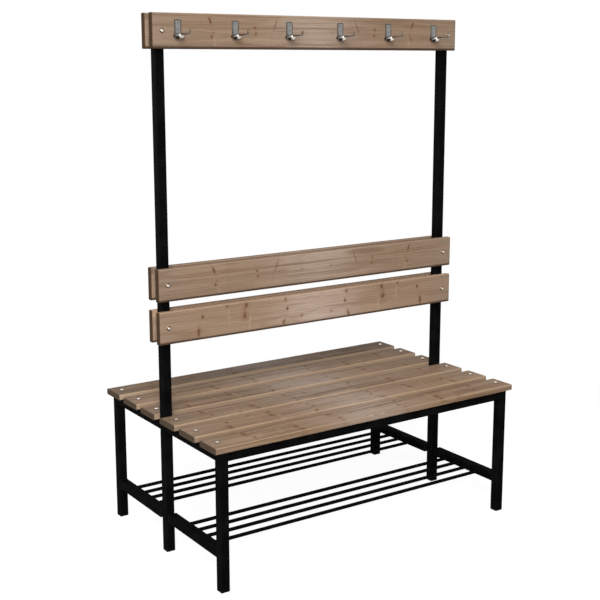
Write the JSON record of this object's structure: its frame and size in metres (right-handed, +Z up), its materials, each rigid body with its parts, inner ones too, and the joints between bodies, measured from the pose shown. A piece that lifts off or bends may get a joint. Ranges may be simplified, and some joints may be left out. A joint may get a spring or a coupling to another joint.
{
  "type": "double-sided cloakroom bench",
  "caption": "Free-standing two-sided changing-room bench: slatted timber seat, backrest boards and coat hooks on both faces of a square-tube frame, with shoe racks under the seat.",
  "frame": {"origin": "on the floor, under the middle of the bench", "axes": "+X along the bench to the picture's right, -Y towards the pictured front, +Z up"},
  "size_m": [1.2, 0.758, 1.727],
  "materials": {
    "timber": "stained and lacquered knotty softwood",
    "frame_coat": "black satin powder coat",
    "hook_metal": "satin plated casting",
    "fastener_metal": "bright zinc plate",
    "plug_plastic": "black moulded plastic"
  },
  "bodies": {
    "root": {"backrest_lower_back": "timber", "backrest_lower_front": "timber", "backrest_upper_back": "timber", "backrest_upper_front": "timber", "board_bolts": "fastener_metal", "board_sleeve_nuts": "fastener_metal", "coat_hook_back_1": "hook_metal", "coat_hook_back_2": "hook_metal", "coat_hook_back_3": "hook_metal", "coat_hook_back_4": "hook_metal", "coat_hook_back_5": "hook_metal", "coat_hook_back_6": "hook_metal", "coat_hook_front_1": "hook_metal", "coat_hook_front_2": "hook_metal", "coat_hook_front_3": "hook_metal", "coat_hook_front_4": "hook_metal", "coat_hook_front_5": "hook_metal", "coat_hook_front_6": "hook_metal", "crossbar_end_plugs": "plug_plastic", "foot_plugs": "plug_plastic", "hook_board_back": "timber", "hook_board_front": "timber", "hook_screws": "fastener_metal", "leg_back_left": "frame_coat", "leg_back_right": "frame_coat", "leg_front_left": "frame_coat", "leg_front_right": "frame_coat", "post_caps": "plug_plastic", "post_left": "frame_coat", "post_right": "frame_coat", "rack_crossbar_back_left": "frame_coat", "rack_crossbar_back_right": "frame_coat", "rack_crossbar_front_left": "frame_coat", "rack_crossbar_front_right": "frame_coat", "rack_rod_back_1": "frame_coat", "rack_rod_back_2": "frame_coat", "rack_rod_back_3": "frame_coat", "rack_rod_back_4": "frame_coat", "rack_rod_front_1": "frame_coat", "rack_rod_front_2": "frame_coat", "rack_rod_front_3": "frame_coat", "rack_rod_front_4": "frame_coat", "seat_bolts": "fastener_metal", "seat_cross_rail_back_left": "frame_coat", "seat_cross_rail_back_right": "frame_coat", "seat_cross_rail_front_left": "frame_coat", "seat_cross_rail_front_right": "frame_coat", "seat_long_rail_back": "frame_coat", "seat_long_rail_front": "frame_coat", "seat_nuts": "fastener_metal", "seat_slat_1": "timber", "seat_slat_2": "timber", "seat_slat_3": "timber", "seat_slat_4": "timber", "seat_slat_5": "timber", "seat_slat_6": "timber"}
  },
  "joints": []
}
